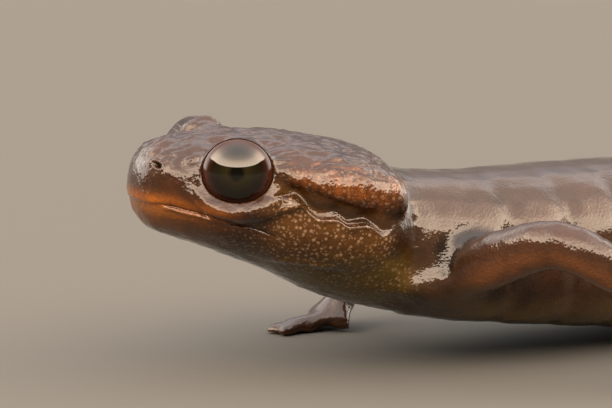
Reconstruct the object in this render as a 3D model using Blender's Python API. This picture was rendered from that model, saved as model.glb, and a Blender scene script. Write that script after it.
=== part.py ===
"""A northwestern salamander at life size, walking with its head held high.

The head points along -X, the left side is at -Y and the floor is at z = 0. Sizes are in
millimetres, and become metres where a mesh is made. Places along the animal are measured
from the tip of the snout, along a spine that bends from side to side.
"""

import math

import bmesh
import bpy
import numpy as np
from mathutils import Matrix, Vector

MM = 0.001
GAP = 0.3  # left between two pieces that touch
SNOUT_HEIGHT = 12.3  # tip of the snout above the floor

HEAD_END = 16.7
NECK_END = 18.6
TORSO_END = 65.0
PELVIS_END = 79.0
TAIL_CUTS = (101.0, 124.0)
TAIL_END = 146.0

# The spine's heading in degrees, from straight back towards the right side.
BEND = ((0, 0), (16, 2), (28, 11), (45, 4), (60, -14), (74, -22), (88, -14), (105, 8), (125, 32), (146, 46))

# The head: half widths, and heights above or below the tip of the snout.
HEAD_SIDE = ((0, 4.4), (2, 4.65), (4, 5.2), (7, 6.0), (10, 6.7), (13, 6.9), (15.6, 6.7), (16.7, 6.0))
HEAD_TOP = ((0, 2.7), (2, 3.0), (4, 3.35), (7, 3.45), (10, 3.15), (13, 2.65), (15.2, 2.1), (16.7, 1.2))
HEAD_UNDER = ((0, -1.9), (1, -2.3), (2.4, -2.9), (4.6, -3.7), (6, -4.3), (8.8, -5.5), (11.6, -7.0), (14, -7.9),
              (16.7, -8.6))
SNOUT_START = 0.25
SNOUT_ROUND = 3.9  # how far back the snout's rounding reaches, seen from above
SNOUT_BLUNT = 1.7  # the same, seen from the side, above the snout's tip
CHIN_BLUNT = 1.15  # and under it

# From the neck back: half widths, and heights above the floor.
BODY_SIDE = ((16, 5.7), (19, 5.9), (22, 6.2), (31, 6.9), (45, 7.6), (56, 7.2), (66, 5.8), (72, 5.2), (78, 4.3),
             (86, 3.7), (100, 3.0), (115, 2.3), (130, 1.5), (142, 0.8), (146, 0.25))
BODY_TOP = ((16, 13.2), (19, 12.6), (22, 12.3), (31, 12.2), (45, 11.8), (58, 11.0), (68, 10.1), (76, 9.3), (86, 8.9),
            (100, 8.5), (115, 7.4), (130, 5.7), (140, 3.6), (146, 1.0))
BODY_UNDER = ((16, 3.6), (19, 3.1), (22, 2.6), (31, 1.4), (40, 0.3), (48, -0.2), (60, -0.2), (68, 0.7), (76, 0.9),
              (84, 0.2), (92, -0.15), (138, -0.15), (146, 0.2))

GROOVES = 11  # costal grooves between the limbs
FIRST_GROOVE = 23.5
GROOVE_STEP = 4.0
GROOVE_DEPTH = 0.3

# The swelling of the chest in front of each shoulder: its place along the spine and height.
CHEST_CENTRE = (19.0, 5.7)
CHEST_REACH = (2.6, 1.6)
CHEST_RISE = 0.6

# The parotoid gland behind each eye, the jaw muscle under it, and the crease between them.
GLAND_CENTRE = (12.3, 0.85)
GLAND_SLOPE = -0.24
GLAND_REACH = (5.0, 1.6)
GLAND_RISE = 1.15
CHEEK_CENTRE = (11.2, -2.9)
CHEEK_REACH = (4.4, 1.9)
CHEEK_RISE = 0.6

EYE_CENTRE = (6.0, 4.3, 1.5)
EYE_RADIUS = 1.95
EYE_OPENING = (2.05, 2.45)  # radii of the cone that opens the lids, at the eye's centre and outside it
EYE_AXIS = (-0.30, 0.93, 0.17)
LID = 0.12  # thickness of the lids round the eye

NOSTRIL = (1.15, 2.75, 1.85)
MOUTH = ((-1, -0.45), (0, -0.45), (1.1, -0.47), (3.2, -0.86), (5.1, -1.42), (7.4, -2.17), (9.5, -3.5), (12, -4.7),
         (14.5, -5.3), (18, -5.6))

# Each limb: the girdle's place, the side, then root, middle joint, end joint and knuckles,
# each as how far back from the girdle, how far out from the spine and how high.
LIMBS = {
    "arm_left": (19.5, -1, (0, 3.6, 6.0), (4.2, 12.0, 9.8), (11.2, 14.6, 5.4), (13.1, 15.5, 1.1)),
    "arm_right": (19.5, 1, (0, 3.6, 6.0), (2.2, 12.4, 8.2), (0.4, 11.7, 2.3), (-1.7, 11.3, 0.7)),
    "leg_left": (70.0, -1, (0, 2.8, 4.8), (-6.0, 11.2, 7.0), (-2.4, 16.0, 2.1), (-4.0, 18.6, 0.75)),
    "leg_right": (70.0, 1, (0, 2.8, 4.8), (4.5, 11.6, 6.6), (10.6, 13.6, 2.2), (12.2, 16.2, 0.75)),
}
ARM_RADII = ((0, 2.0), (0.3, 1.75), (0.5, 1.6), (0.72, 1.45), (0.9, 1.05), (1, 1.0))
LEG_RADII = ((0, 2.6), (0.3, 2.1), (0.5, 1.75), (0.72, 1.55), (0.9, 1.15), (1, 1.05))
PALM = (1.75, 0.72)  # half width and half thickness at the knuckles
FINGERS = ((-50, 2.9), (-18, 4.1), (13, 4.3), (46, 3.0))  # direction in degrees, and length
TOES = ((-56, 2.5), (-28, 3.7), (0, 4.6), (27, 4.4), (55, 3.0))
DIGIT_RADII = ((0, 0.72), (0.35, 0.6), (0.55, 0.64), (0.8, 0.5), (0.93, 0.42), (1, 0.16))
DIGIT_REST = 0.18  # height of a digit's line over the floor at its tip

# Colour and roughness of each material.
LOOKS = {
    "head_skin": ((0.115, 0.045, 0.018), 0.25),
    "jaw_skin": ((0.1, 0.043, 0.018), 0.3),
    "body_skin": ((0.09, 0.045, 0.027), 0.35),
    "limb_skin": ((0.095, 0.043, 0.023), 0.35),
    "eye": ((0.012, 0.007, 0.005), 0.05),
}


def smooth(keys, at):
    """The value at a place, on a curve through the keys that doesn't overshoot them."""
    place, value = (np.array(column, float) for column in zip(*keys))
    step = np.diff(place)
    slope = np.diff(value) / step
    bend = np.zeros(len(place))
    same_way = slope[:-1] * slope[1:] > 0
    mean = 2 * slope[:-1] * slope[1:] / np.where(same_way, slope[:-1] + slope[1:], 1)
    bend[1:-1] = np.where(same_way, mean, 0)
    bend[0], bend[-1] = slope[0], slope[-1]
    at = np.clip(at, place[0], place[-1])
    i = np.clip(np.searchsorted(place, at) - 1, 0, len(step) - 1)
    t = (at - place[i]) / step[i]
    stay = (1 + 2 * t) * (1 - t) ** 2 * value[i] + t**2 * (3 - 2 * t) * value[i + 1]
    turn = step[i] * t * (1 - t) * ((1 - t) * bend[i] - t * bend[i + 1])
    return stay + turn


def make_spine():
    """Places every tenth of a millimetre along the spine, as (x, y), with the heading there."""
    place = np.arange(0, TAIL_END + 1, 0.1)
    heading = np.radians([smooth(BEND, s) for s in place])
    x = np.concatenate([[0], np.cumsum(np.cos(heading[:-1]) * 0.1)])
    y = np.concatenate([[0], np.cumsum(np.sin(heading[:-1]) * 0.1)])
    return place, x, y, heading


SPINE = make_spine()


def beside_spine(s, out, height):
    """A point that is so far to the right of the spine at s, in millimetres."""
    place, x, y, heading = SPINE
    turn = np.interp(s, place, heading)
    px = np.interp(s, place, x) - math.sin(turn) * out
    py = np.interp(s, place, y) + math.cos(turn) * out
    return Vector((px, py, height))


def power(value, exponent):
    return math.copysign(abs(value) ** exponent, value)


def section(count, side, top, under, widest, back=2.0, belly=2.0):
    """The (across, height) points of a cross-section, with the direction that each one faces."""
    points = []
    for k in range(count):
        angle = 2 * math.pi * (k + 0.5) / count
        square = back if math.sin(angle) > 0 else belly
        reach = top - widest if math.sin(angle) > 0 else widest - under
        across = side * power(math.cos(angle), 2 / square)
        height = widest + reach * power(math.sin(angle), 2 / square)
        faces = Vector((across / side**2, (height - widest) / reach**2)).normalized()
        points.append((across, height, faces))
    return points


def dome(x, z, centre, reach, rise):
    """How far a rounded swelling stands out at (x, z)."""
    q = math.hypot((x - centre[0]) / reach[0], (z - centre[1]) / reach[1])
    return rise * math.sqrt(1 - min(q, 1) ** 2) if q < 1 else 0


def head_relief(s, height):
    """The gland, the cheek and the lips, as a rise over the head's plain side."""
    z = height - SNOUT_HEIGHT
    middle = GLAND_CENTRE[1] + GLAND_SLOPE * (s - GLAND_CENTRE[0])
    rise = dome(s, z, (GLAND_CENTRE[0], middle), GLAND_REACH, GLAND_RISE)
    rise += dome(s, z, CHEEK_CENTRE, CHEEK_REACH, CHEEK_RISE)
    if s < MOUTH[5][0]:
        off = abs(z - smooth(MOUTH, s)) - 0.6
        rise += 0.16 * math.exp(-((off / 0.45) ** 2))
    return rise


def head_ring(s, count=48):
    """A cross-section of the head, s behind the tip of the snout."""
    behind_tip = s - SNOUT_START
    round_side = math.sqrt(1 - (1 - min(behind_tip / SNOUT_ROUND, 1)) ** 2)
    round_up = math.sqrt(1 - (1 - min(behind_tip / SNOUT_BLUNT, 1)) ** 2)
    round_down = math.sqrt(1 - (1 - min(behind_tip / CHIN_BLUNT, 1)) ** 2)
    middle = SNOUT_HEIGHT + smooth(((0, 0.2), (4, 0.3), (10, -0.9), (HEAD_END, -2.0)), s)
    top = middle + round_up * (SNOUT_HEIGHT + smooth(HEAD_TOP, s) - middle)
    under = middle - round_down * (middle - SNOUT_HEIGHT - smooth(HEAD_UNDER, s))
    ring = []
    for across, height, faces in section(count, round_side * smooth(HEAD_SIDE, s), top, under, middle, 2.35, 2.2):
        rise = head_relief(s, height) * abs(faces[0]) ** 0.6
        ring.append(beside_spine(s, across + faces[0] * rise, height + faces[1] * rise))
    return ring


def costal_relief(s, height, under, top):
    """The costal grooves in the flanks, which fade out on the back and the belly."""
    nearest = round((s - FIRST_GROOVE) / GROOVE_STEP)
    if not 0 <= nearest < GROOVES:
        return 0
    off = s - FIRST_GROOVE - GROOVE_STEP * nearest
    share = (height - under) / (top - under)
    flank = max(0, 1 - (2 * share - 1) ** 2) ** 0.5
    return -GROOVE_DEPTH * flank * math.exp(-((off / 0.6) ** 2))


def body_ring(s, count=28, grow=0.0):
    """A cross-section of the neck, torso, pelvis or tail, made wider and higher by grow."""
    side, top, under = (smooth(keys, s) for keys in (BODY_SIDE, BODY_TOP, BODY_UNDER))
    on_tail = smooth(((70, 0), (92, 1)), s)
    widest = under + (top - under) * (0.44 - 0.04 * on_tail)
    square = 2.35 - 0.45 * on_tail
    ring = []
    for across, height, faces in section(count, side, top, under, widest, square, square + 0.2):
        rise = grow + costal_relief(s, height, under, top)
        rise += dome(s, height, CHEST_CENTRE, CHEST_REACH, CHEST_RISE) * abs(faces[0])
        crest = max(0, faces[1]) ** 6
        across *= 1 + 0.22 * on_tail * crest
        ring.append(beside_spine(s, across + faces[0] * rise, height + faces[1] * rise))
    return ring


def material(name):
    colour, roughness = LOOKS[name]
    made = bpy.data.materials.get(name) or bpy.data.materials.new(name)
    made.use_nodes = True
    shader = made.node_tree.nodes["Principled BSDF"]
    shader.inputs["Base Color"].default_value = (*colour, 1)
    shader.inputs["Roughness"].default_value = roughness
    shader.inputs["Metallic"].default_value = 0
    return made


def finish_object(name, mesh_data, collection, look="body_skin"):
    """Puts a bmesh into a new object in a collection, with its faces pointing out."""
    bmesh.ops.recalc_face_normals(mesh_data, faces=mesh_data.faces)
    mesh = bpy.data.meshes.new(name)
    mesh_data.to_mesh(mesh)
    mesh_data.free()
    mesh.materials.append(material(look))
    obj = bpy.data.objects.new(name, mesh)
    collection.objects.link(obj)
    return obj


def loft(name, rings, collection, look="body_skin"):
    """A closed skin through rings of points in millimetres, with a flat cap at each end."""
    made = bmesh.new()
    loops = [[made.verts.new(point * MM) for point in ring] for ring in rings]
    for near, far in zip(loops, loops[1:]):
        for k in range(len(near)):
            after = (k + 1) % len(near)
            made.faces.new((near[k], near[after], far[after], far[k]))
    made.faces.new(loops[0])
    made.faces.new(loops[-1])
    return finish_object(name, made, collection, look)


def ball(name, centre, radius, collection, size=(18, 11)):
    """A sphere in millimetres."""
    made = bmesh.new()
    bmesh.ops.create_uvsphere(made, u_segments=size[0], v_segments=size[1], radius=radius * MM)
    bmesh.ops.translate(made, vec=centre * MM, verts=made.verts)
    return finish_object(name, made, collection)


def peg(name, start, direction, length, radii, collection, sides=16):
    """A rod or cone from a point, along a direction, for cutting."""
    made = bmesh.new()
    bmesh.ops.create_cone(made, cap_ends=True, segments=sides, radius1=radii[0] * MM, radius2=radii[1] * MM,
                          depth=length * MM)
    bmesh.ops.translate(made, vec=(0, 0, length * MM / 2), verts=made.verts)
    turn = Vector(direction).to_track_quat("Z", "Y").to_matrix().to_4x4()
    bmesh.ops.transform(made, matrix=Matrix.Translation(Vector(start) * MM) @ turn, verts=made.verts)
    return finish_object(name, made, collection)


def prism(name, outline, collection, half_width=30):
    """A flat outline in the (x, z) plane, made as wide as the animal."""
    made = bmesh.new()
    face = made.faces.new([made.verts.new(Vector((x, -half_width, z)) * MM) for x, z in outline])
    extruded = bmesh.ops.extrude_face_region(made, geom=[face])["geom"]
    moved = [piece for piece in extruded if isinstance(piece, bmesh.types.BMVert)]
    bmesh.ops.translate(made, vec=(0, 2 * half_width * MM, 0), verts=moved)
    return finish_object(name, made, collection)


def combine(obj, others, operation):
    """Joins, cuts or intersects a mesh with others for good, and removes the others."""
    bag = bpy.data.collections.new("bag")
    for other in others:
        bag.objects.link(other)
    step = obj.modifiers.new("combine", "BOOLEAN")
    step.operation = operation
    step.operand_type = "COLLECTION"
    step.collection = bag
    step.solver = "EXACT"
    bpy.context.view_layer.update()
    evaluated = obj.evaluated_get(bpy.context.evaluated_depsgraph_get())
    mesh = bpy.data.meshes.new_from_object(evaluated)
    obj.modifiers.clear()
    obj.data = mesh
    for other in others:
        bpy.data.objects.remove(other)
    bpy.data.collections.remove(bag)
    keep_largest(obj)


def keep_largest(obj):
    """Drops every closed surface of a mesh but the largest."""
    made = bmesh.new()
    made.from_mesh(obj.data)
    bmesh.ops.remove_doubles(made, verts=made.verts, dist=1e-7)
    left, shells = set(made.verts), []
    while left:
        shell, front = set(), [left.pop()]
        while front:
            vertex = front.pop()
            shell.add(vertex)
            near = [edge.other_vert(vertex) for edge in vertex.link_edges]
            front += [other for other in near if other in left]
            left.difference_update(near)
        shells.append(shell)
    biggest = max(shells, key=len)
    drop = [vertex for vertex in made.verts if vertex not in biggest]
    bmesh.ops.delete(made, geom=drop, context="VERTS")
    made.to_mesh(obj.data)
    made.free()


def cut_floor(obj, cutters):
    """Cuts off what lies under the floor, which leaves small flats at z = 0."""
    made = bmesh.new()
    bmesh.ops.create_cube(made, size=1)
    bmesh.ops.scale(made, vec=(0.4, 0.4, 0.02), verts=made.verts)
    bmesh.ops.translate(made, vec=(0, 0, -0.01), verts=made.verts)
    combine(obj, [finish_object("floor_cutter", made, cutters)], "DIFFERENCE")


def mouth_region(name, offset, collection):
    """The space under the mouth line and the jaw's parting, moved off that line by an offset."""
    line = [Vector((x, SNOUT_HEIGHT + z)) for x, z in MOUTH]
    moved = []
    for i, point in enumerate(line):
        along = (line[min(i + 1, len(line) - 1)] - line[max(i - 1, 0)]).normalized()
        moved.append(point + offset * Vector((-along.y, along.x)))
    outline = [(p.x, p.y) for p in moved] + [(moved[-1].x, -5), (moved[0].x, -5)]
    return prism(name, outline, collection)


def eye_place(side):
    """An eye's centre and the way it looks; side is -1 for the left eye."""
    centre = Vector((EYE_CENTRE[0], side * EYE_CENTRE[1], SNOUT_HEIGHT + EYE_CENTRE[2]))
    return centre, Vector((EYE_AXIS[0], side * EYE_AXIS[1], EYE_AXIS[2])).normalized()


def make_head(parts, cutters):
    """The head with its glands, lids and nostrils, and the lower jaw with the throat."""
    places = [0.27, 0.37, 0.6, 0.9, 1.3, 1.8, 2.5, 3.2, 4.1, 5.0, 5.9, 6.7, 7.4, 8.0, 8.6, 9.3, 10.1, 11.0, 11.9,
              12.8, 13.6, 14.4, 15.1, 15.7, 16.1, 16.4, 16.7 - GAP / 2]
    rings = [head_ring(s) for s in places]
    head = loft("head", rings, parts, "head_skin")
    jaw = loft("lower_jaw", rings, parts, "jaw_skin")
    combine(jaw, [mouth_region("jaw_space", -GAP / 2, cutters)], "INTERSECT")
    combine(head, [mouth_region("jaw_space", GAP / 2, cutters)], "DIFFERENCE")
    lids = [ball(f"lid_{side}", eye_place(side)[0], EYE_RADIUS + GAP + LID, cutters, size=(22, 14))
            for side in (-1, 1)]
    combine(head, lids, "UNION")
    for side in (-1, 1):
        centre, axis = eye_place(side)
        socket = ball("socket", centre, EYE_RADIUS + GAP, cutters)
        opening = peg("opening", centre, axis, 2 * EYE_RADIUS, EYE_OPENING, cutters, sides=24)
        combine(head, [socket, opening], "DIFFERENCE")
        hole = Vector((NOSTRIL[0], side * NOSTRIL[1], SNOUT_HEIGHT + NOSTRIL[2]))
        facing = Vector((-0.45, side * 0.85, 0.3)).normalized()
        nostril = peg("nostril", hole - facing * 0.3, facing, 1.2, (0.14, 0.5), cutters, sides=10)
        combine(head, [nostril], "DIFFERENCE")
    return head, jaw


def make_eye(name, side, parts):
    """An eyeball with the clear dome at its front."""
    centre, axis = eye_place(side)
    made = bmesh.new()
    bmesh.ops.create_uvsphere(made, u_segments=20, v_segments=12, radius=EYE_RADIUS)
    for vertex in made.verts:
        front = max(0, vertex.co.z / EYE_RADIUS - 0.72) / 0.28
        vertex.co.z += 0.12 * math.sqrt(front)
    turn = axis.to_track_quat("Z", "Y").to_matrix().to_4x4()
    bmesh.ops.transform(made, matrix=Matrix.Translation(centre) @ turn, verts=made.verts)
    bmesh.ops.scale(made, vec=(MM, MM, MM), verts=made.verts)
    return finish_object(name, made, parts, "eye")


def places_between(start, end, step):
    count = max(2, round((end - start) / step) + 1)
    return [float(s) for s in np.linspace(start, end, count)]


def torso_places():
    """Ring places with three between each two costal grooves and one in each groove."""
    inside = [FIRST_GROOVE + GROOVE_STEP * k + off for k in range(GROOVES) for off in (-0.9, 0, 0.9, 2.0)]
    front = [NECK_END + GAP / 2, 20.0, 21.3]
    return front + [s for s in inside if s < TORSO_END - 0.6] + [TORSO_END - GAP / 2]


def make_body(parts, cutters):
    """The neck, torso, pelvis and three lengths of tail."""
    spans = {
        "neck": places_between(HEAD_END + GAP / 2, NECK_END - GAP / 2, 0.8),
        "torso": torso_places(),
        "pelvis": places_between(TORSO_END + GAP / 2, PELVIS_END - GAP / 2, 1.7),
        "tail_base": places_between(PELVIS_END + GAP / 2, TAIL_CUTS[0] - GAP / 2, 2.2),
        "tail_middle": places_between(TAIL_CUTS[0] + GAP / 2, TAIL_CUTS[1] - GAP / 2, 2.3),
        "tail_tip": places_between(TAIL_CUTS[1] + GAP / 2, TAIL_END, 2.2),
    }
    for name, places in spans.items():
        count = 20 if name.startswith("tail") else 28
        obj = loft(name, [body_ring(s, count) for s in places], parts)
        if min(smooth(BODY_UNDER, s) for s in places) < 0:
            cut_floor(obj, cutters)


def limb_points(girdle, side, joints):
    """The joints of a limb as points, from how far back, out and up each one is."""
    near, heading = beside_spine(girdle, 0, 0), np.interp(girdle, SPINE[0], SPINE[3])
    along = Vector((math.cos(heading), math.sin(heading), 0))
    outward = Vector((-math.sin(heading), math.cos(heading), 0)) * side
    return [near + along * back + outward * out + Vector((0, 0, up)) for back, out, up in joints]


def rounded_path(points, rounding, step=0.1):
    """Close points along a line through the given ones, with its corners rounded."""
    pieces = []
    for a, b in zip(points, points[1:]):
        count = max(2, int((b - a).length / step))
        pieces += [a.lerp(b, k / count) for k in range(count)]
    line = np.array([*pieces, points[-1]])
    half = int(rounding / step)
    for _ in range(2):
        padded = np.concatenate([2 * line[0] - line[half:0:-1], line, 2 * line[-1] - line[-2:-half - 2:-1]])
        total = np.cumsum(np.concatenate([np.zeros((1, 3)), padded]), axis=0)
        line = (total[2 * half + 1:] - total[:-2 * half - 1]) / (2 * half + 1)
    return line


def tube_rings(line, places, wide, thick, count):
    """Rings across a path at the given shares of its length, with their half width and half thickness."""
    along = np.concatenate([[0], np.cumsum(np.linalg.norm(np.diff(line, axis=0), axis=1))])
    rings = []
    for share in places:
        at = share * along[-1]
        reach = 1.1 * wide(share)
        here, ahead, behind = (
            Vector([np.interp(at + d, along, line[:, k]) for k in range(3)]) for d in (0, reach, -reach)
        )
        tangent = (ahead - behind).normalized()
        flat = tangent.cross(Vector((0, 0, 1))).normalized()
        upright = flat.cross(tangent)
        rings.append([
            here + flat * wide(share) * math.cos(2 * math.pi * k / count)
            + upright * thick(share) * math.sin(2 * math.pi * k / count)
            for k in range(count)
        ])
    return rings, along[-1]


def share_at(line, point):
    """How far along a path, as a share of its length, it passes nearest to a point."""
    along = np.concatenate([[0], np.cumsum(np.linalg.norm(np.diff(line, axis=0), axis=1))])
    return along[np.argmin(np.linalg.norm(line - np.array(point), axis=1))] / along[-1]


def make_digits(name, wrist, knuckles, fan, collection):
    """The fingers or toes, spread like a fan from the knuckles and arched down to the floor."""
    ahead = (knuckles - wrist)
    heading = math.atan2(ahead.y, ahead.x)
    across = Vector((-math.sin(heading), math.cos(heading), 0))
    digits = []
    for k, (degrees, length) in enumerate(fan):
        turn = heading + math.radians(degrees)
        way = Vector((math.cos(turn), math.sin(turn), 0))
        spread = (k / (len(fan) - 1) - 0.5) * 2
        root = knuckles - way * 1.1 + across * spread * (PALM[0] - 0.55)
        base = knuckles + across * spread * (PALM[0] - 0.4) + way * 0.3
        middle = base + way * length * 0.5
        middle.z = max(0.5, base.z * 0.6)
        tip = base + way * length
        tip.z = DIGIT_REST
        line = rounded_path([root, base, middle, tip], 0.5)
        places = [0, 0.25, 0.42, 0.57, 0.72, 0.86, 0.95, 1]
        rings, _ = tube_rings(line, places, lambda t: smooth(DIGIT_RADII, t), lambda t: smooth(DIGIT_RADII, t) * 0.9, 7)
        digits.append(loft(f"{name}_digit_{k}", rings, collection, "limb_skin"))
    return digits


def make_limb(limb, parts, cutters):
    """The three nodes of one limb: its upper and lower length, and the hand or foot."""
    girdle, side, *joints = LIMBS[limb]
    root, middle, end, knuckles = limb_points(girdle, side, joints)
    kind, where = limb.split("_")
    names = {"arm": ("upper_arm", "forearm", "hand"), "leg": ("thigh", "shank", "foot")}[kind]
    radii = ARM_RADII if kind == "arm" else LEG_RADII
    line = rounded_path([root, middle, end, knuckles], 1.6)
    elbow, wrist = share_at(line, middle), share_at(line, end)

    def wide(share):
        plain = smooth(radii, min(share / wrist, 1))
        palm = max(0, share - wrist) / (1 - wrist)
        return plain + (PALM[0] - plain) * math.sin(palm * math.pi / 2) ** 1.2

    def thick(share):
        plain = smooth(radii, min(share / wrist, 1))
        palm = max(0, share - wrist) / (1 - wrist)
        return plain + (PALM[1] - plain) * palm

    length = tube_rings(line, [0, 1], wide, thick, 4)[1]
    half_gap = GAP / 2 / length
    spans = ((0, elbow - half_gap, 9), (elbow + half_gap, wrist - half_gap, 8), (wrist + half_gap, 1, 5))
    made = []
    for name, (start, stop, count) in zip(names, spans):
        places = np.linspace(start, stop, count)
        rings = tube_rings(line, places, wide, thick, 14)[0]
        made.append(loft(f"{name}_{where}", rings, parts, "limb_skin"))
    trunk_places = [s for s in np.arange(girdle - 5, girdle + 6.5, 0.8)]
    trunk = loft("trunk_cutter", [body_ring(s, 28, GAP) for s in trunk_places], cutters)
    combine(made[0], [trunk], "DIFFERENCE")
    fan = FINGERS if kind == "arm" else TOES
    if side > 0:
        fan = [(-degrees, size) for degrees, size in fan]
    combine(made[2], make_digits(limb, end, knuckles, fan, cutters), "UNION")
    cut_floor(made[2], cutters)


def centre_on_floor(collection):
    """Moves every mesh so that the box round them all is centred over the origin."""
    corners = np.array([v.co for obj in collection.objects for v in obj.data.vertices])
    middle = (corners.min(axis=0) + corners.max(axis=0)) / 2
    for obj in collection.objects:
        obj.data.transform(Matrix.Translation((-middle[0], -middle[1], 0)))


def main():
    for obj in list(bpy.data.objects):
        bpy.data.objects.remove(obj)
    parts = bpy.data.collections.new("northwestern_salamander")
    cutters = bpy.data.collections.new("cutters")
    for collection in (parts, cutters):
        bpy.context.scene.collection.children.link(collection)
    make_head(parts, cutters)
    make_eye("eye_left", -1, parts)
    make_eye("eye_right", 1, parts)
    make_body(parts, cutters)
    for limb in LIMBS:
        make_limb(limb, parts, cutters)
    centre_on_floor(parts)
    for obj in parts.objects:
        obj.data.shade_smooth()


main()
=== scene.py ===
"""The looks of a northwestern salamander: one wet skin over the whole animal, and its two eyes.

Shapes are worked out in millimetres from the tip of the snout, with the head towards -X, the
left side at -Y and the floor at z = 0, and are moved into the CAD's frame at the end.
"""

import math

import bmesh
import bpy
import numpy as np
from mathutils import Matrix, Vector, noise


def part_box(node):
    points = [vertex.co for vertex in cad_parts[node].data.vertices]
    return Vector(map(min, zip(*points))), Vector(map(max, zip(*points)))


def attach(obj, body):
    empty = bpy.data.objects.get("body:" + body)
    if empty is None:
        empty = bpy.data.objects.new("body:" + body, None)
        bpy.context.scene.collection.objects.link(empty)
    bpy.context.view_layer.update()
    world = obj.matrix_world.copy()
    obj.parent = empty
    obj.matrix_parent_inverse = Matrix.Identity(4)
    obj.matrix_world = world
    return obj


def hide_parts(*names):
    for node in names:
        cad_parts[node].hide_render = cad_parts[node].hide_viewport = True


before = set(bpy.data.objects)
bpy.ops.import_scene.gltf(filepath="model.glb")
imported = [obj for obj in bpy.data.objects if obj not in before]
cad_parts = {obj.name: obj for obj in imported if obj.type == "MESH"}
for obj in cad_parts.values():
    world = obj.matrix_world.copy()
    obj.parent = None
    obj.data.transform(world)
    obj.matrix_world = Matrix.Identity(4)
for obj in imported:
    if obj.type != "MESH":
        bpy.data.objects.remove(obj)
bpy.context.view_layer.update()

MM = 0.001
LEFT = -1  # the sign of y on each side
RIGHT = 1

# The camera, as it stood for the photograph.
VIEW_AZIMUTH = -18.0
VIEW_ELEVATION = 10.0
VIEW_DISTANCE = 202.0
LENS = 190.0
SENSOR = 36.0
AIM = (11.25, -0.875)  # right of and above the tip of the snout, across the line of sight

# The light: one wide, even source above, brightest in front.
BRIGHT_EDGE = 27.0  # how high its bright front begins, in degrees
LIGHT_STRENGTH = 18.0
FLOOR_HALF = 3.0  # in metres

# The eyes: each shows the front of a ball whose centre lies deeper than that of its lids.
LIDS_CENTRE = (6.0, 4.3, 13.75)
LIDS_RADIUS = 2.35
EYE_AXIS = (-0.30, 0.93, 0.17)
EYE_SINK = 0.35
EYE_BALL = 2.55
CORNEA_ANGLE = 41.0
CORNEA_RISE = 0.11
EYE_TUCK = 0.02  # how far the ball's edge goes under the lids
EYE_TAPER = 0.6  # how fast the ball narrows behind the lids
EYE_TAIL = 0.1  # its radius at the back

# The lids round each eye.
OPENING_TOP = 2.09  # from the eye's axis to the lids' edge, above it
OPENING_SIDE = 2.19
OPENING_BOTTOM = 1.85
RIM_HEIGHT = 0.26
RIM_WIDTH = 0.1
RIM_SINK = 0.05  # how deep in the ball's surface the rim begins
EDGE_BAND = 0.03  # points this close to the lids' edge are drawn onto it
EYE_HIDDEN = 0.4  # how far the skin behind the eyeball lies under its surface
LID_SLIMMING = 0.85
LID_ROOT = (-2.4, -0.4)  # where the upper lid begins and is full, forward of the ball's centre
SHELF_WIDTH = 0.68  # of the skin that juts out under each eye
SHELF_SLOPE = 0.16
SHELF_DROP = 1.2  # how steeply it falls past its width
LID_REACH = 1.3  # how far from the opening the lids shape the skin
EYE_REACH = 4.5  # how far from an eye's axis its surroundings go
EYE_FRONT = 4.0  # how far they go in front of the ball's centre
EYE_BACK = 0.5  # how far in front of that centre they begin
FAR = 9.0  # stands for the distance to the lids of a point outside the surroundings
UNDER_EYE = -0.6  # skin this far inside the opening lies behind the eyeball and needs no detail

# The head.
SNOUT_HEIGHT = 12.3
NOSTRIL = (1.36, 14.2)
BROW = (6.0, 3.4, 15.9)  # the skin over the right eye, which stands a little higher than the left one
BROW_RISE = 0.38
BROW_SIZE = 1.2
CHEEK_SIDE = (3.5, 5.0)  # where the side of the head begins and is full, out from the middle
ARM_START = (8.2, 8.8)  # the same for the arms beside the neck
FINE_PART = (18.2, 8.6, 4.0)  # the finer skin of the head: how far back, how far out, from what height
GULAR_FOLD = 17.1  # the fold across the throat, along the spine
GULAR_DEPTH = 0.22

# Lines on the side of the head: how far back from the snout, and how high above its tip.
MOUTH = (
    (-1, -0.45), (0, -0.45), (1.1, -0.47), (3.2, -0.86), (5.1, -1.42), (7.4, -2.17), (9.5, -3.2),
    (12, -4.2))
MOUTH_CORNER = 8.1
GLAND_EDGE = (
    (8.0, 1.7), (8.6, 0.87), (9.2, 0.5), (10.4, 0.2), (12, -0.5), (14.5, -1.3), (16.0, -1.55),
    (17.2, -1.3))
JAW_EDGE = ((5, -4.0), (6.0, -4.14), (7.7, -4.37), (9.1, -4.3), (11.9, -4.8), (14, -5.2))
FOLD = (
    (7.2, 0.0), (8.1, 0.22), (8.9, 0.2), (9.4, -0.24), (9.9, -0.74), (10.5, -1.15), (11.5, -1.19),
    (12.4, -1.68), (13.4, -1.66), (14.7, -2.5))
SHELF = (
    (1.9, 0.85), (2.5, 0.52), (3.4, -0.28), (4.2, -0.68), (5.6, -0.92), (6.3, -0.84), (7.0, -0.66),
    (8.1, -0.6), (9.4, -0.35))

# How far the skin stands out along the shelf's line, at each distance from the snout.
SHELF_RISE = (
    (1.9, 0.0), (3.0, 0.17), (6.2, 0.17), (6.9, 0.5), (7.5, 0.55), (8.2, 0.46), (8.8, 0.46), (9.8, 0.0))

# Ridges, and furrows where the rise is below zero, along these lines: the line, how far above it,
# the half width, the rise, and where it begins, is full, fades and ends, back from the snout.
RIDGES = (
    (GLAND_EDGE, -0.15, 0.4, -0.22, (8.2, 8.9, 16.4, 17.4)),
    (GLAND_EDGE, 0.5, 0.35, 0.05, (8.2, 8.9, 16.4, 17.4)),
    (FOLD, 0.03, 0.07, -0.11, (7.3, 8.0, 13.8, 15.0)),
    (FOLD, -0.22, 0.16, 0.1, (7.3, 8.0, 13.8, 15.0)),
    (FOLD, 0.32, 0.3, -0.26, (8.2, 9.6, 14.5, 16.0)),
    (JAW_EDGE, 0.15, 0.2, 0.07, (5.5, 7.0, 11.5, 13.0)),
    (JAW_EDGE, -0.15, 0.2, -0.1, (5.5, 7.0, 11.5, 13.0)),
)

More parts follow.
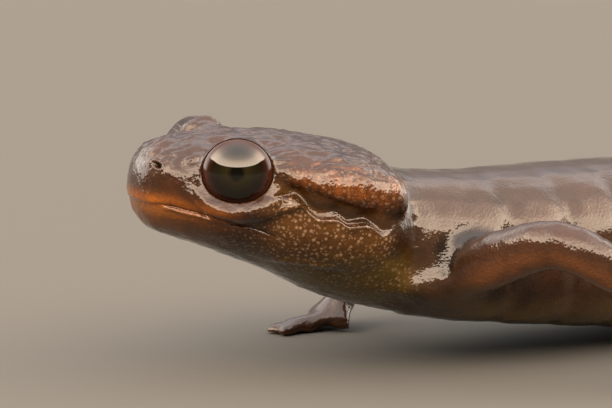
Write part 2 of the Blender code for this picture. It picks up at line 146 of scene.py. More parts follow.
# Swellings ahead of the arm: how far along the spine, how high, half length, half height and rise.
SWELLINGS = ((17.4, 6.0, 1.8, 0.85, 0.55), (18.4, 8.8, 1.2, 0.7, 0.1))

# The spine's heading in degrees, as in the CAD.
BEND = (
    (0, 0), (16, 2), (28, 11), (45, 4), (60, -14), (74, -22), (88, -14), (105, 8), (125, 32), (146, 46))
LENGTH = 146.0
SPINE_STEP = 0.5
BATCH = 4000  # points that are set against the spine at a time, to spare memory

# The costal grooves.
GROOVES = 11
FIRST_GROOVE = 23.5
GROOVE_STEP = 4.0
GROOVE_DEPTH = 0.07
GROOVE_WIDTH = 0.6

VOXEL = 0.38  # how fine the skin is where nothing refines it
SWELL = 0.27  # closes the gaps between the lengths of the body while the skin is made
FOLD_DEPTH = 0.1  # how much deeper than in the CAD the skin folds in at the roots of the limbs

# The fine patterns, in millimetres; grain and pores are as coarse as it takes for them to show.
MOTTLE_SIZE = 1.3
GRAIN_SIZE = 0.16
PORE_SIZE = 0.2
STREAK_SIZE = 0.5  # of the iris
DOTS = ((0.36, 0.38, 0.5), (0.24, 0.35, 0.36))  # spacing, radius as a share of it, and strength


def smooth(keys, at):
    """Values at places, on a curve through the keys that doesn't overshoot them."""
    place, value = (np.array(column, float) for column in zip(*keys))
    step = np.diff(place)
    slope = np.diff(value) / step
    bend = np.zeros(len(place))
    same_way = slope[:-1] * slope[1:] > 0
    both = np.where(same_way, slope[:-1] + slope[1:], 1)
    bend[1:-1] = np.where(same_way, 2 * slope[:-1] * slope[1:] / both, 0)
    bend[0], bend[-1] = slope[0], slope[-1]
    at = np.clip(at, place[0], place[-1])
    i = np.clip(np.searchsorted(place, at) - 1, 0, len(step) - 1)
    t = (at - place[i]) / step[i]
    stay = (1 + 2 * t) * (1 - t) ** 2 * value[i] + t**2 * (3 - 2 * t) * value[i + 1]
    return stay + step[i] * t * (1 - t) * ((1 - t) * bend[i] - t * bend[i + 1])


def ramp(value, low, high):
    """0 below low, 1 above high, and an even change between them."""
    t = np.clip((value - low) / (high - low), 0, 1)
    return t * t * (3 - 2 * t)


def fade(value, low, high):
    """1 below low, 0 above high, and an even change between them."""
    return 1 - ramp(value, low, high)


def span(value, begin, full, last, end):
    """1 from full to last, 0 before begin and after end, and an even change between them."""
    return ramp(value, begin, full) * fade(value, last, end)


def bell(value, width):
    """1 at zero, falling away evenly on both sides of it."""
    return np.exp(-((value / width) ** 2))


def on_head(points):
    """How far each point is back from the tip of the snout, out from the middle, and above the tip."""
    return points[:, 0], np.abs(points[:, 1]), points[:, 2] - SNOUT_HEIGHT


def from_nostril(points):
    """How far each point is from a nostril, seen from the side."""
    return np.hypot(points[:, 0] - NOSTRIL[0], points[:, 2] - NOSTRIL[1])


def eye_frame(side):
    """An eye's centre, the way it looks and its upward direction."""
    axis = np.array([EYE_AXIS[0], side * EYE_AXIS[1], EYE_AXIS[2]])
    axis /= np.linalg.norm(axis)
    centre = np.array([LIDS_CENTRE[0], side * LIDS_CENTRE[1], LIDS_CENTRE[2]]) - EYE_SINK * axis
    up = np.array([0, 0, 1.0]) - axis[2] * axis
    up /= np.linalg.norm(up)
    return centre, axis, up


def around_eye(points, side, deepest=EYE_BACK):
    """For each point: how far in front of an eye's centre it is, how far from the eye's axis, in
    which direction from it, and how far outside the lids' opening, or FAR past the surroundings."""
    centre, axis, up = eye_frame(side)
    apart = points - centre
    front = apart @ axis
    level = apart - front[:, None] * axis
    out = np.linalg.norm(level, axis=1)
    level /= np.maximum(out, 1e-9)[:, None]
    height = level @ up
    end = np.where(height > 0, OPENING_TOP, OPENING_BOTTOM)
    beyond = out - (OPENING_SIDE + (end - OPENING_SIDE) * height**2)
    near = (front > deepest) & (out < EYE_REACH) & (front < EYE_FRONT)
    return front, out, level, np.where(near, beyond, FAR)


def beyond_lids(points):
    """How far each point is outside the opening of the lids of the eye that it is near."""
    return np.minimum(around_eye(points, LEFT)[3], around_eye(points, RIGHT)[3])


def spine_places(points):
    """How far each point is along the bent spine, and how far to its right."""
    place = np.arange(0, LENGTH + 1, SPINE_STEP)
    heading = np.radians(smooth(BEND, place))
    line = np.stack([np.cumsum(np.cos(heading)), np.cumsum(np.sin(heading))], axis=1) * SPINE_STEP
    line = np.vstack([[0, 0], line[:-1]])
    nearest = np.zeros(len(points), int)
    for start in range(0, len(points), BATCH):
        part = points[start:start + BATCH, None, :2] - line[None]
        nearest[start:start + BATCH] = (part**2).sum(axis=2).argmin(axis=1)
    apart = points[:, :2] - line[nearest]
    along = np.stack([np.cos(heading), np.sin(heading)], axis=1)[nearest]
    right = along[:, 0] * apart[:, 1] - along[:, 1] * apart[:, 0]
    return place[nearest] + (apart * along).sum(axis=1), right


def noise_at(points, size, seed):
    """Even noise from -1 to 1 with bumps of about the given size in millimetres."""
    shift = Vector((seed, 2.3 * seed, 4.1 * seed))
    scale = np.array([1 / s for s in size]) if isinstance(size, tuple) else 1 / size
    return np.array([noise.noise(Vector(point) + shift) for point in points * scale]) * 1.6


def mesh_points(mesh):
    points = np.empty(len(mesh.vertices) * 3, np.float32)
    mesh.vertices.foreach_get("co", points)
    return points.reshape(-1, 3).astype(float)


def mesh_edges(mesh):
    edges = np.empty(len(mesh.edges) * 2, np.int32)
    mesh.edges.foreach_get("vertices", edges)
    return edges.reshape(-1, 2)


def place_points(mesh, points):
    mesh.vertices.foreach_set("co", points.astype(np.float32).ravel())
    mesh.update()


def normals_of(mesh):
    normals = np.empty(len(mesh.vertices) * 3, np.float32)
    mesh.vertex_normals.foreach_get("vector", normals)
    return normals.reshape(-1, 3).astype(float)


def relax(points, edges, share):
    """Draws each point towards the mean of its neighbours by a share, one number or one a point."""
    a, b = edges.T
    count = len(points)
    total = np.stack([
        np.bincount(a, points[b, k], count) + np.bincount(b, points[a, k], count) for k in range(3)
    ], axis=1)
    neighbours = np.bincount(edges.ravel(), minlength=count)[:, None]
    return points + share * (total / neighbours - points)


def flesh_mesh(origin):
    """One closed mesh of all the flesh in millimetres, with the eyes' sockets filled by the lids' ball."""
    whole = bmesh.new()
    for name in FLESH:
        whole.from_mesh(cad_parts[name].data)
    bmesh.ops.remove_doubles(whole, verts=whole.verts, dist=1e-7)
    bmesh.ops.scale(whole, vec=(1 / MM,) * 3, verts=whole.verts)
    bmesh.ops.translate(whole, vec=-origin, verts=whole.verts)
    whole.normal_update()
    for vertex in whole.verts:
        vertex.co += vertex.normal * SWELL
    for side in (LEFT, RIGHT):
        centre = Matrix.Translation((LIDS_CENTRE[0], side * LIDS_CENTRE[1], LIDS_CENTRE[2]))
        bmesh.ops.create_icosphere(whole, subdivisions=4, radius=LIDS_RADIUS + SWELL, matrix=centre)
    mesh = bpy.data.meshes.new("flesh")
    whole.to_mesh(mesh)
    whole.free()
    return mesh


def remeshed(mesh):
    """The mesh as one even skin round everything in it."""
    carrier = bpy.data.objects.new("carrier", mesh)
    bpy.context.scene.collection.objects.link(carrier)
    step = carrier.modifiers.new("step", "REMESH")
    step.mode = "VOXEL"
    step.voxel_size = VOXEL
    depsgraph = bpy.context.evaluated_depsgraph_get()
    result = bpy.data.meshes.new_from_object(carrier.evaluated_get(depsgraph))
    bpy.data.objects.remove(carrier)
    return result


def keep_outer_shell(mesh):
    """Deletes the small closed surfaces that are left inside the mesh."""
    made = bmesh.new()
    made.from_mesh(mesh)
    left, biggest = set(made.verts), set()
    while left:
        shell, front = set(), [left.pop()]
        while front:
            vertex = front.pop()
            shell.add(vertex)
            near = [edge.other_vert(vertex) for edge in vertex.link_edges]
            front += [other for other in near if other in left]
            left.difference_update(near)
        biggest = max(biggest, shell, key=len)
    inner = [vertex for vertex in made.verts if vertex not in biggest]
    bmesh.ops.delete(made, geom=inner, context="VERTS")
    made.to_mesh(mesh)
    made.free()


def refine(mesh, wanted):
    """Halves the edges whose two ends are wanted, an array with one truth a point."""
    made = bmesh.new()
    made.from_mesh(mesh)
    made.verts.ensure_lookup_table()
    edges = [edge for edge in made.edges if wanted[edge.verts[0].index] and wanted[edge.verts[1].index]]
    bmesh.ops.subdivide_edges(made, edges=edges, cuts=1, use_grid_fill=True)
    bmesh.ops.triangulate(made, faces=[face for face in made.faces if len(face.verts) > 4])
    made.to_mesh(mesh)
    made.free()
    points, edges = mesh_points(mesh), mesh_edges(mesh)
    near = np.zeros(len(points))
    near[:len(wanted)] = wanted
    near[len(wanted):] = 1
    for _ in range(2):
        points = relax(points, edges, 0.5 * near[:, None])
    place_points(mesh, points)


def head_part(points):
    """Truths for points on the head, without the skin that the eyeballs hide."""
    back, out, low = FINE_PART
    inside = (points[:, 0] < back) & (np.abs(points[:, 1]) < out) & (points[:, 2] > low)
    return inside & ~(beyond_lids(points) < UNDER_EYE)


def head_detail(points):
    """Truths for points near the eyes, the mouth, the nostrils and the folds of the head's sides."""
    x, y, z = on_head(points)
    mouth = (np.abs(z - smooth(MOUTH, x)) < 0.75) & (x < MOUTH_CORNER + 0.8)
    fold = (np.abs(z - smooth(FOLD, x)) < 0.6) & (x > 7) & (x < 15.2) & (y > 4)
    nostril = (from_nostril(points) < 0.8) & (y > 1)
    lids = np.abs(beyond_lids(points) - 0.35) < 0.6
    return mouth | fold | nostril | lids


def rim_detail(points):
    """Truths for points close to the lids' rims, the nostrils and the line of the mouth."""
    x, y, z = on_head(points)
    mouth = (np.abs(z - smooth(MOUTH, x) + 0.04) < 0.2) & (x < MOUTH_CORNER + 0.2)
    nostril = (from_nostril(points) < 0.35) & (y > 1)
    rims = np.abs(beyond_lids(points) - 0.05) < 0.17
    return mouth | nostril | rims


def mouth_relief(x, z):
    """The closed mouth: in front the upper lip stands over the lower one, and further back a thin
    groove runs over the fuller lower lip."""
    off = z - smooth(MOUTH, x)
    reach = fade(x, MOUTH_CORNER - 1.2, MOUTH_CORNER + 0.4)
    front = fade(x, 0.9, 1.9)
    overbite = 0.05 * np.tanh(off / 0.07) * bell(off, 0.45)
    groove = -0.12 * bell(off, 0.07) - 0.04 * bell(off, 0.2)
    upper_lip = 0.04 * bell(off - 0.4, 0.3)
    fullness = (0.08 + 0.03 * ramp(x, 3.0, 4.5)) * span(x, 1.2, 2.2, 5.2, 6.6)
    lower_lip = fullness * bell(off + 0.19, 0.1)
    return reach * ((1 - front) * groove + front * overbite + upper_lip + lower_lip)


def side_relief(x, y, z):
    """The gland's lower edge, the wet fold behind the eye, the jaw's edge and the shelf under the eye."""
    relief = np.zeros(len(x))
    for line, height, width, rise, reach in RIDGES:
        relief += rise * span(x, *reach) * bell(z - smooth(line, x) - height, width)
    above = z - smooth(SHELF, x)
    over_shelf = np.clip(1 - above / 0.95, 0, 1) ** 1.3
    under_shelf = bell(above, 0.3 + 0.3 * bell(x - 7.1, 0.7))
    relief += smooth(SHELF_RISE, x) * np.where(above > 0, over_shelf, under_shelf)
    return relief * ramp(y, *CHEEK_SIDE)


def crown_relief(points):
    """The long fine waves and creases on top of the head."""
    creases = bell(noise_at(points, (1.9, 0.62, 0.7), 23), 0.2)
    waves = noise_at(points, (1.6, 0.5, 0.6), 3)
    small_waves = noise_at(points, (1.0, 0.3, 0.35), 17)
    return 0.08 * waves + 0.07 * small_waves - 0.09 * creases


def skin_relief(points, normals):
    """How far each point of the skin is raised or sunk along its normal, in millimetres."""
    x, y, z = on_head(points)
    s, _ = spine_places(points)
    up = normals[:, 2]
    head = fade(s, 16.3, 17.3) * fade(y, *ARM_START)
    relief = head * (mouth_relief(x, z) + side_relief(x, y, z))

    # The pit of each nostril and the low rim round it.
    apart = from_nostril(points)
    relief += (y > 1) * (-0.45 * bell(apart, 0.12) + 0.03 * bell(apart - 0.25, 0.1))

    # The fold across the throat, then the costal grooves along the flanks.
    relief -= GULAR_DEPTH * bell(s - GULAR_FOLD, 0.45) * ramp(-up, -0.6, 0.2)
    flank = np.clip(1 - up**2, 0, 1)
    nearest = np.clip(np.round((s - FIRST_GROOVE) / GROOVE_STEP), 0, GROOVES - 1)
    relief -= GROOVE_DEPTH * flank * bell(s - FIRST_GROOVE - GROOVE_STEP * nearest, GROOVE_WIDTH)

    # Waves and creases on the crown, and small bumps everywhere.
    top = head * ramp(up, 0.35, 0.85) * (1 - 0.7 * ramp(s, 13.5, 16.5))
    relief += top * crown_relief(points)
    relief += 0.028 * noise_at(points, 0.9, 7) + 0.012 * noise_at(points, 0.35, 11)

    # The brow over the right eye, and the swellings ahead of the arms.
    relief += BROW_RISE * bell(np.linalg.norm(points - BROW, axis=1), BROW_SIZE)
    for place, height, length, width, rise in SWELLINGS:
        swelling = bell(s - place, length) * bell(points[:, 2] - height, width)
        relief += rise * swelling * ramp(y, *CHEEK_SIDE)
    return relief


def hollowness(points, normals, edges):
    """How far the skin lies under its own smoothed form, in millimetres: more than 0 in the folds."""
    even = points
    for _ in range(8):
        even = relax(even, edges, 0.5)
    depth = ((even - points) * normals).sum(axis=1)[:, None]
    return np.maximum(relax(depth * np.ones(3), edges, 0.5)[:, 0], 0)


def open_lids(points):
    """Sinks the skin inside the lids' opening behind the eyeball, and rolls a rim round the opening.
    The lower rim is the thicker one, and the skin under it juts out as a shelf."""
    for side in (LEFT, RIGHT):
        centre, axis, up = eye_frame(side)
        front, out, level, beyond = around_eye(points, side)
        downward = -(level @ up)
        margin = out - beyond
        on_ball = np.sqrt(np.maximum(EYE_BALL**2 - margin**2, 0))
        share = np.clip(beyond / RIM_WIDTH, 0, 1)
        thickness = RIM_HEIGHT * (0.15 + 0.85 * ramp(downward, -0.3, 0.4))
        roll = thickness * np.sqrt(1 - (1 - share) ** 2) - RIM_SINK
        edge_front = on_ball + roll * on_ball / EYE_BALL
        edge_out = np.where(np.abs(beyond) < EDGE_BAND, margin, out)
        blend = ramp(beyond, RIM_WIDTH, 0.25 + 0.3 * ramp(downward, 0.0, 0.8))
        sunk = np.sqrt(np.maximum((EYE_BALL - EYE_HIDDEN) ** 2 - out**2, 0))
        rolled = edge_front + (front - edge_front) * blend
        new_front = np.where(beyond < -EDGE_BAND, sunk, rolled)
        rise = SHELF_SLOPE * np.minimum(beyond, SHELF_WIDTH)
        drop = SHELF_DROP * np.maximum(beyond - SHELF_WIDTH, 0)
        shelf = edge_front + rise - drop
        shelf = new_front + (shelf - new_front) * ramp(downward, 0.15, 0.6)
        new_front = np.where(beyond > RIM_WIDTH, np.maximum(new_front, shelf), new_front)
        moved = centre + new_front[:, None] * axis + edge_out[:, None] * level
        points = np.where((beyond < LID_REACH)[:, None], moved, points)
    return points


def slim_lids(points):
    """Draws the skin over each eye in towards the ball, so that its upper lid is a thin one."""
    for side in (LEFT, RIGHT):
        centre, axis, up = eye_frame(side)
        front, out, level, beyond = around_eye(points, side, LID_ROOT[0])
        share = ramp(level @ up, 0.0, 0.5) * ramp(front, *LID_ROOT) * fade(beyond, 0.5, 0.9) * (beyond > 0)
        drawn = out - LID_SLIMMING * share * beyond
        moved = centre + front[:, None] * axis + drawn[:, None] * level
        points = np.where((share > 0)[:, None], moved, points)
    return points


def hex_colour(code):
    """An sRGB hex colour as linear red, green and blue."""
    parts = [int(code[k:k + 2], 16) / 255 for k in (1, 3, 5)]
    return np.array([c / 12.92 if c <= 0.04045 else ((c + 0.055) / 1.055) ** 2.4 for c in parts])


BACK = hex_colour("#2c1d11")
FLANK = hex_colour("#2a190d")
BELLY = hex_colour("#5a4526")
LIMB_TOP = hex_colour("#2d1a0e")
# Painted light: the limbs' undersides are paler, standing in for light from below that lifts the shade
# under them.
LIMB = hex_colour("#5c381e")
SNOUT = hex_colour("#281406")
LIP = hex_colour("#764110")
JAW = hex_colour("#5a3411")
CHEEK = hex_colour("#3a2307")
GLAND = hex_colour("#482405")
# Painted shade: a near black brown laid in the furrow under the gland, behind the cheek, in the throat's
# fold and in the nostrils.
PAINTED_SHADE = hex_colour("#1e1106")
THROAT = hex_colour("#403005")
DOT = hex_colour("#7f6851")
CARD = hex_colour("#4a4a48")


def lay(under, over, share):
    """One colour laid over another, by a share for each point."""
    return under + (over - under) * share[:, None]


def body_colours(s, out, y, up):
    """The trunk, tail and limbs: dark brown above, and paler below: the belly in its own paler colour, and
    the limbs with a painted light on their undersides.
    """
    colour = lay(BACK, FLANK, ramp(-up, -0.45, 0.1))
    colour = lay(colour, BELLY, ramp(-up, 0.25, 0.85) * ramp(s, 16, 24))
    # Painted light: paler on the limbs' downward faces.
    limb = lay(LIMB_TOP, LIMB, ramp(-up, -0.15, 0.6))
    behind_head = np.maximum(ramp(s, 14, 18), ramp(y, *ARM_START))
    return lay(colour, limb, ramp(np.abs(out), 6.4, 8.6) * behind_head * fade(s, 95, 110))


def head_colours(points, up):
    """The head: orange-brown lips and jaw, streaked rusty glands, painted shade in the furrows and an
    olive throat.
    """
    x, _, z = on_head(points)
    side = fade(up, 0.45, 0.85)
    over_mouth = z - smooth(MOUTH, x)
    colour = lay(SNOUT, LIP, side * bell(over_mouth - 0.12, 0.48) * fade(x, 3, 7))
    colour = lay(colour, CHEEK, side * ramp(x, 6.0, 8.5) * fade(z, 0.5, 1.5))
    colour = lay(colour, JAW, fade(over_mouth, -0.15, 0.02) * fade(x, 1.5, 7))
    edge = z - smooth(GLAND_EDGE, x)
    gland = ramp(edge, -0.3, 0.5) * fade(z, 1.9, 3.0) * ramp(x, 8.2, 9.2)
    streaks = np.clip(0.5 + noise_at(points, (0.22, 0.6, 1.4), 13), 0, 1)
    colour = lay(colour, lay(GLAND * 0.55, GLAND * 1.25, streaks), gland * side)
    # Painted shade in the furrow under the gland's edge and in the hollow behind the cheek, before the
    # neck.
    trough_shade = bell(edge + 0.5, 0.42) * ramp(x, 8.5, 10) + ramp(x, 14.6, 15.8) * fade(z, -0.9, 0.2)
    colour = lay(colour, PAINTED_SHADE, np.clip(trough_shade, 0, 1) * 0.85)
    return lay(colour, THROAT, ramp(-z, 3.2, 5.0) * ramp(x, 4, 9))


def dot_amounts(x, z, head):
    """How strongly the pale dots show: on the glands, under the fold, and on the lower jaw."""
    on_gland = 0.55 * ramp(z - smooth(GLAND_EDGE, x), -0.1, 0.3) * fade(z, 1.4, 2.4)
    under_fold = fade(z - smooth(FOLD, x), -0.2, 0.1)
    dots = np.clip(head * ramp(x, 5.5, 8.5) * (on_gland + under_fold), 0, 1)
    dots *= fade(-z, 4.5, 6.5) * (1 - ramp(x, 14.8, 16.0) * (z < -0.5))
    on_jaw = head * 0.65 * fade(z - smooth(MOUTH, x), -0.6, -0.2) * ramp(x, 2, 6)
    return np.maximum(dots, on_jaw)


def skin_colours(points, normals):
    """The skin's colour at each point, with painted shade in its folds and pits, and how strongly its pale
    dots show there.
    """
    x, y, z = on_head(points)
    s, out = spine_places(points)
    up = normals[:, 2]
    head = fade(s, 15.6, 17.8) * fade(y, *ARM_START)
    colour = lay(body_colours(s, out, y, up), head_colours(points, up), head)
    # Painted shade in the fold across the throat, on the skin that faces down.
    colour = lay(colour, PAINTED_SHADE, 0.5 * bell(s - 17.2, 0.6) * ramp(-up, -0.7, 0.2))
    # Painted shade in the pit of each nostril.
    colour = lay(colour, PAINTED_SHADE * 0.4, bell(from_nostril(points), 0.14) * (y > 1))
    uneven = 1 + 0.12 * noise_at(points, 2.2, 5)
    return colour * uneven[:, None], dot_amounts(x, z, head)


def add_attribute(mesh, name, kind, values):
    attribute = mesh.attributes.new(name, kind, "POINT")
    key = "color" if kind == "FLOAT_COLOR" else "value"
    attribute.data.foreach_set(key, values.astype(np.float32).ravel())


def node(tree, kind, settings=None, **inputs):
    """Adds a node with its settings; each input is a value, or a socket that it is linked to."""
    made = tree.nodes.new(kind)
    for name, value in (settings or {}).items():
        setattr(made, name, value)
    for name, value in inputs.items():
        socket = made.inputs[int(name[1:])] if name[0] == "_" else made.inputs[name.replace("_", " ")]
        if isinstance(value, bpy.types.NodeSocket):
            tree.links.new(value, socket)
        else:
            socket.default_value = value
    return made


def new_material(name):
    """An empty material with its tree and its Principled shader."""
    made = bpy.data.materials.new(name)
    made.use_nodes = True
    return made, made.node_tree, made.node_tree.nodes["Principled BSDF"]


def colour_ramp(tree, value, stops):
    """A colour that goes from stop to stop, given as (value, sRGB code)."""
    made = node(tree, "ShaderNodeValToRGB", _0=value)
    elements = made.color_ramp.elements
    while len(elements) < len(stops):
        elements.new(0.5)
    for stop, (position, code) in zip(elements, stops):
        stop.position = position
        stop.color = (*hex_colour(code), 1)
    return made.outputs[0]


def per_mm(size):
    """The scale of a pattern whose cells are so many millimetres wide."""
    return 1 / (size * MM)


def wet_skin():
    """Living amphibian skin, soft and finely grained under a thin clear film of mucus. The film gives
    sharp reflections with slightly wavy edges over the muted brown of the pigment."""
    made, tree, shader = new_material("wet_amphibian_skin")
    place = node(tree, "ShaderNodeTexCoord").outputs["Object"]
    tone = node(tree, "ShaderNodeAttribute", {"attribute_name": "tone"}).outputs["Color"]
    amount = node(tree, "ShaderNodeAttribute", {"attribute_name": "dots"}).outputs["Fac"]

    # Cloudy mottling of the pigment, and a fine dark grain between the glands.
    mottle = node(tree, "ShaderNodeTexNoise", Vector=place, Scale=per_mm(MOTTLE_SIZE), Detail=3.0,
                  Roughness=0.6)
    grain = node(tree, "ShaderNodeTexNoise", Vector=place, Scale=per_mm(GRAIN_SIZE), Detail=2.0,
                 Roughness=0.6)
    both = node(tree, "ShaderNodeMath", {"operation": "MULTIPLY_ADD"}, _0=grain.outputs["Fac"], _1=0.8,
                _2=mottle.outputs["Fac"])
    shade = node(tree, "ShaderNodeMapRange", Value=both.outputs[0], From_Min=0.55, From_Max=1.3,
                 To_Min=0.62, To_Max=1.3)
    mottled = node(tree, "ShaderNodeVectorMath", {"operation": "SCALE"}, _0=tone, Scale=shade.outputs[0])

    # Pale dots over the poison glands, larger ones among finer ones: little balls that the surface cuts.
    colour = mottled.outputs[0]
    for size, radius, strength in DOTS:
        cells = node(tree, "ShaderNodeTexVoronoi", Vector=place, Scale=per_mm(size), Randomness=0.8)
        dot = node(tree, "ShaderNodeMapRange", {"interpolation_type": "SMOOTHSTEP"},
                   Value=cells.outputs["Distance"], From_Min=radius, From_Max=radius * 0.5,
                   To_Min=0.0, To_Max=strength)
        share = node(tree, "ShaderNodeMath", {"operation": "MULTIPLY"}, _0=dot.outputs[0], _1=amount)
        mixed = node(tree, "ShaderNodeMix", {"data_type": "RGBA"}, _0=share.outputs[0], _6=colour,
                     _7=(*DOT, 1))
        colour = mixed.outputs[2]
    tree.links.new(colour, shader.inputs["Base Color"])

    # Pores and tiny folds, shallower in the film than in the skin under it.
    pores = node(tree, "ShaderNodeTexVoronoi", Vector=place, Scale=per_mm(PORE_SIZE), Randomness=1.0)
    relief = node(tree, "ShaderNodeMath", {"operation": "MULTIPLY_ADD"}, _0=grain.outputs["Fac"], _1=1.0,
                  _2=pores.outputs["Distance"])
    for socket, depth in (("Normal", 0.02), ("Coat Normal", 0.012)):
        bump = node(tree, "ShaderNodeBump", Height=relief.outputs[0], Distance=depth * MM, Strength=1.0)
        tree.links.new(bump.outputs[0], shader.inputs[socket])
    shader.inputs["Roughness"].default_value = 0.5
    shader.inputs["IOR"].default_value = 1.4
    shader.inputs["Specular IOR Level"].default_value = 0.08
    shader.inputs["Coat Weight"].default_value = 1.0
    shader.inputs["Coat Roughness"].default_value = 0.05
    shader.inputs["Coat IOR"].default_value = 1.36
    return made


def eye_surface():
    """A living eye: a clear cornea, polished by tears, which mirrors the light like glass. Under it
    the iris is almost black with an olive ring, and reddish brown at the rim."""
    made, tree, shader = new_material("wet_cornea_over_dark_iris")
    angle = node(tree, "ShaderNodeAttribute", {"attribute_name": "off_axis"}).outputs["Fac"]
    place = node(tree, "ShaderNodeTexCoord").outputs["Object"]

    # Rings round the eye's axis, whose edges wander by up to 9 degrees with the streaks of the iris.
    streaks = node(tree, "ShaderNodeTexNoise", Vector=place, Scale=per_mm(STREAK_SIZE), Detail=3.0)
    wander = node(tree, "ShaderNodeMath", {"operation": "MULTIPLY_ADD"}, _0=streaks.outputs["Fac"],
                  _1=9.0, _2=angle)
    share = node(tree, "ShaderNodeMath", {"operation": "DIVIDE"}, _0=wander.outputs[0], _1=90.0)
    rings = colour_ramp(tree, share.outputs[0], (
        (0.0, "#020201"), (0.13, "#030201"), (0.2, "#181405"), (0.36, "#0f0c04"), (0.47, "#0d0603"),
        (0.62, "#2a1208")))
    tree.links.new(rings, shader.inputs["Base Color"])
    shader.inputs["Roughness"].default_value = 0.02
    shader.inputs["IOR"].default_value = 1.44
    return made


def matt_card():
    """Uncoated grey card: no gloss, so that the floor takes only soft shadows."""
    made, _, shader = new_material("matt_card")
    shader.inputs["Base Color"].default_value = (*CARD, 1)
    shader.inputs["Roughness"].default_value = 0.9
    shader.inputs["Specular IOR Level"].default_value = 0.1
    return made


def finished(name, mesh, material, origin):
    """Puts a mesh made in millimetres into the CAD's frame as a piece of the animal."""
    mesh.transform(Matrix.Translation(origin * MM) @ Matrix.Scale(MM, 4))
    mesh.materials.clear()
    mesh.materials.append(material)
    mesh.shade_smooth()
    piece = bpy.data.objects.new(name, mesh)
    bpy.context.scene.collection.objects.link(piece)
    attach(piece, "root")
    return piece


def skin_mesh(origin):
    """The skin's form, finest where the head has its details, with the lids open."""
    mesh = remeshed(flesh_mesh(origin))
    keep_outer_shell(mesh)
    points, edges = mesh_points(mesh), mesh_edges(mesh)
    for _ in range(3):
        points = relax(points, edges, 0.55)
        points = relax(points, edges, -0.5)
    place_points(mesh, points)
    place_points(mesh, points - normals_of(mesh) * SWELL)
    for wanted in (head_part, head_detail, rim_detail):
        refine(mesh, wanted(mesh_points(mesh)))
    points = open_lids(slim_lids(mesh_points(mesh)))
    beyond = beyond_lids(points)
    ring = span(beyond, 0.08, 0.2, 0.5, 0.9)
    edges = mesh_edges(mesh)
    for _ in range(12):
        points = relax(points, edges, 0.5 * ring[:, None])
    place_points(mesh, points)
    return mesh


def make_skin(origin):
    """The skin over the whole animal, with its wrinkles, its colours and its dots."""
    mesh = skin_mesh(origin)
    points, normals = mesh_points(mesh), normals_of(mesh)
    behind_head = ramp(spine_places(points)[0], 17.4, 18.4)
    folds = hollowness(points, normals, mesh_edges(mesh)) * behind_head * ramp(points[:, 2], 1.0, 2.5)
    off_lids = ramp(beyond_lids(points), 0.05, 0.3)
    relief = skin_relief(points, normals) * off_lids - FOLD_DEPTH * ramp(folds, 0.012, 0.06)
    points += normals * relief[:, None]
    points[:, 2] = np.maximum(points[:, 2], 0.0)
    place_points(mesh, points)
    tone, dots = skin_colours(points, normals_of(mesh))
    # Painted shade: the tone is darkened in the folds at the roots of the limbs.
    tone *= 1 - 0.7 * ramp(folds, 0.015, 0.06)[:, None]
    opaque = np.ones((len(tone), 1))
    add_attribute(mesh, "tone", "FLOAT_COLOR", np.hstack([np.clip(tone, 0, 1), opaque]))
    add_attribute(mesh, "dots", "FLOAT", dots)
    skin = finished("skin", mesh, wet_skin(), origin)
    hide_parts(*FLESH)


def make_eye(name, node_name, side, material, origin):
    """An eyeball with the cornea's bulge; behind the lids it narrows to a cone that stays in the head."""
    centre, axis, _ = eye_frame(side)
    made = bmesh.new()
    bmesh.ops.create_uvsphere(made, u_segments=96, v_segments=64, radius=EYE_BALL)
    mesh = bpy.data.meshes.new(name)
    made.to_mesh(mesh)
    made.free()
    points = mesh_points(mesh)
    angle = np.degrees(np.arccos(np.clip(points[:, 2] / EYE_BALL, -1, 1)))
    bulge = CORNEA_RISE * np.clip(1 - (angle / CORNEA_ANGLE) ** 2, 0, 1)
    points *= (1 + bulge / EYE_BALL)[:, None]
    place_points(mesh, points)
    add_attribute(mesh, "off_axis", "FLOAT", angle)
    turn = Vector(axis).to_track_quat("Z", "Y").to_matrix().to_4x4()
    mesh.transform(Matrix.Translation(centre) @ turn)
    front, out, level, beyond = around_eye(mesh_points(mesh), side, -FAR)
    margin = out - beyond
    behind = np.maximum(np.sqrt(EYE_BALL**2 - margin**2) - front, 0)
    widest = np.maximum(margin + EYE_TUCK - EYE_TAPER * behind, EYE_TAIL)
    out = np.minimum(out, widest)
    place_points(mesh, centre + front[:, None] * axis + out[:, None] * level)
    piece = finished(name, mesh, material, origin)
    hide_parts(node_name)


def make_camera(origin):
    """The camera of the photograph, aimed from the tip of the snout."""
    azimuth, elevation = math.radians(VIEW_AZIMUTH), math.radians(VIEW_ELEVATION)
    right = Vector((math.cos(azimuth), math.sin(azimuth), 0))
    level_back = Vector((math.sin(azimuth), -math.cos(azimuth), 0))
    back = level_back * math.cos(elevation) + Vector((0, 0, math.sin(elevation)))
    up = back.cross(right)
    tip = origin + Vector((0, 0, SNOUT_HEIGHT))
    aim = tip + right * AIM[0] + up * AIM[1]
    data = bpy.data.cameras.new("camera")
    data.lens = LENS
    data.sensor_width = SENSOR
    data.clip_start = 0.01
    data.clip_end = 20
    camera = bpy.data.objects.new("camera", data)
    turn = Matrix((right, up, back)).transposed().to_4x4()
    camera.matrix_world = Matrix.Translation((aim + back * VIEW_DISTANCE) * MM) @ turn
    bpy.context.scene.collection.objects.link(camera)
    bpy.context.scene.camera = camera


def make_floor():
    """A wide plain floor."""
    made = bmesh.new()
    bmesh.ops.create_grid(made, x_segments=1, y_segments=1, size=FLOOR_HALF)
    mesh = bpy.data.meshes.new("floor")
    made.to_mesh(mesh)
    made.free()
    mesh.materials.append(matt_card())
    floor = bpy.data.objects.new("floor", mesh)
    bpy.context.scene.collection.objects.link(floor)


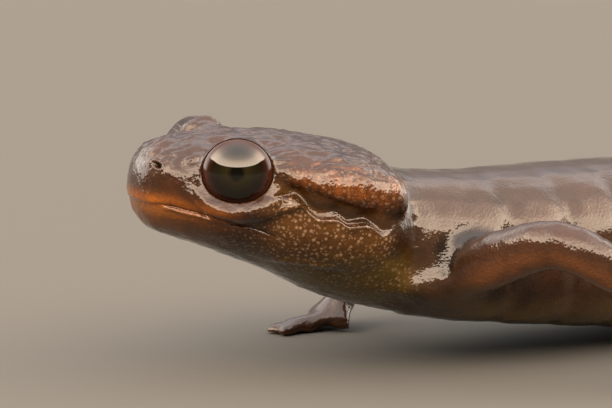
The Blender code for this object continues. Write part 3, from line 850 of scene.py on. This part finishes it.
def make_light():
    """Soft light from all round above, brightest on the camera's side, where it ends sharply well
    above the floor. Each ramp gives its colours by the sine of the angle above the floor."""
    world = bpy.data.worlds.new("soft_studio_light")
    world.use_nodes = True
    tree = world.node_tree
    way = node(tree, "ShaderNodeTexCoord").outputs["Generated"]
    height = node(tree, "ShaderNodeSeparateXYZ", Vector=way).outputs["Z"]
    edge = math.sin(math.radians(BRIGHT_EDGE))
    before = colour_ramp(tree, height, (
        (0.0, "#29261e"), (0.12, "#1b1812"), (edge - 0.012, "#110e09"), (edge + 0.012, "#fbe3cb"),
        (0.66, "#e2cab2"), (0.8, "#a5958a"), (0.92, "#867f7a"), (1.0, "#7a7774")))
    beside = colour_ramp(tree, height, (
        (0.03, "#29261e"), (0.1, "#98938b"), (0.45, "#86827d"), (0.62, "#706d6b"), (0.8, "#615e5c"),
        (0.92, "#696664"), (1.0, "#7a7774")))
    behind = colour_ramp(tree, height, (
        (0.0, "#272522"), (0.17, "#1e1e1d"), (0.34, "#2b2c2d"), (0.42, "#393b3e"), (0.6, "#4a4d51"),
        (0.7, "#484a4d")))
    azimuth = math.radians(VIEW_AZIMUTH)
    to_camera = (math.sin(azimuth), -math.cos(azimuth), 0)
    facing = node(tree, "ShaderNodeVectorMath", {"operation": "DOT_PRODUCT"}, _0=way, _1=to_camera)

    def blend(low, high, under, over):
        share = node(tree, "ShaderNodeMapRange", {"interpolation_type": "SMOOTHSTEP"},
                     Value=facing.outputs["Value"], From_Min=low, From_Max=high, To_Min=0.0, To_Max=1.0)
        mixed = node(tree, "ShaderNodeMix", {"data_type": "RGBA"}, _0=share.outputs[0], _6=under,
                     _7=over)
        return mixed.outputs[2]

    light = blend(-0.88, -0.66, behind, blend(-0.35, -0.05, beside, before))
    shader = tree.nodes["Background"]
    tree.links.new(light, shader.inputs["Color"])
    shader.inputs["Strength"].default_value = LIGHT_STRENGTH
    bpy.context.scene.world = world


FLESH = sorted(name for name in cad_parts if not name.startswith("eye_"))

# The place of the snout's tip on the floor, in millimetres of the CAD's frame, from the eyes' places.
eye_boxes = [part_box(name) for name in ("eye_left", "eye_right")]
eye_centres = [(low + high) / 2 / MM for low, high in eye_boxes]
snout = Vector((eye_centres[0].x - LIDS_CENTRE[0], (eye_centres[0].y + eye_centres[1].y) / 2, 0))

make_skin(snout)
eye_material = eye_surface()
make_eye("left_eye", "eye_left", LEFT, eye_material, snout)
make_eye("right_eye", "eye_right", RIGHT, eye_material, snout)
make_camera(snout)
make_floor()
make_light()
bpy.context.scene.view_settings.view_transform = "Standard"
